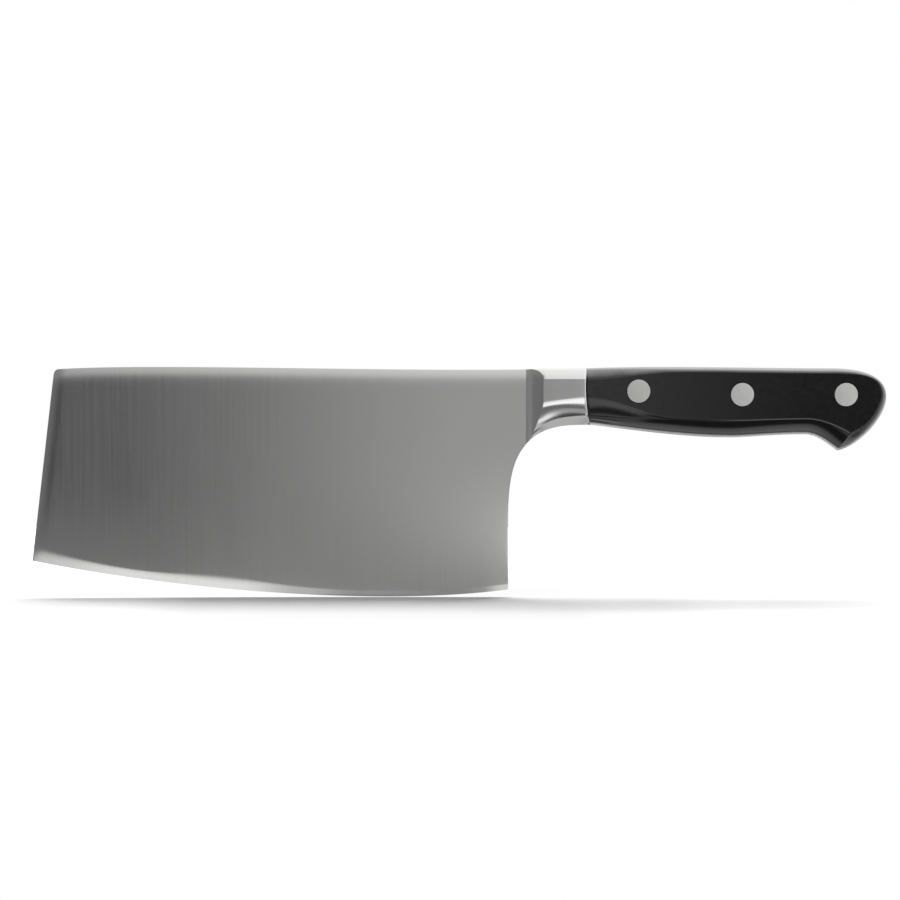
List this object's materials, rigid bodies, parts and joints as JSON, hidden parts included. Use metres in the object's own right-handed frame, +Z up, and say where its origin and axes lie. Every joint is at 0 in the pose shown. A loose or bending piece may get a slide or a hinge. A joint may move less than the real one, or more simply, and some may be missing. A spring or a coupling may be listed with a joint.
{
  "type": "cleaver",
  "caption": "Broad full-tang kitchen cleaver with a curved edge, polished bolster and black riveted handle that hooks at the butt, for chopping vegetables and meat.",
  "frame": {"origin": "bottom centre of the bounding box, at the foot of the cutting edge", "axes": "+X from the front of the blade to the butt of the handle, +Y to the right of a person who holds it edge down, +Z up from the edge to the spine"},
  "size_m": [0.303, 0.019, 0.0816],
  "materials": {
    "blade_steel": "fine satin grind",
    "bolster_steel": "polished",
    "handle_plastic": "semi-gloss black",
    "rivet_metal": "satin, ground flush"
  },
  "bodies": {
    "root": {"blade_with_tang": "blade_steel", "bolster_left": "bolster_steel", "bolster_right": "bolster_steel", "scale_left": "handle_plastic", "scale_right": "handle_plastic", "rivet_front_post": "rivet_metal", "rivet_front_sleeve": "rivet_metal", "rivet_middle_post": "rivet_metal", "rivet_middle_sleeve": "rivet_metal", "rivet_rear_post": "rivet_metal", "rivet_rear_sleeve": "rivet_metal"}
  },
  "joints": []
}
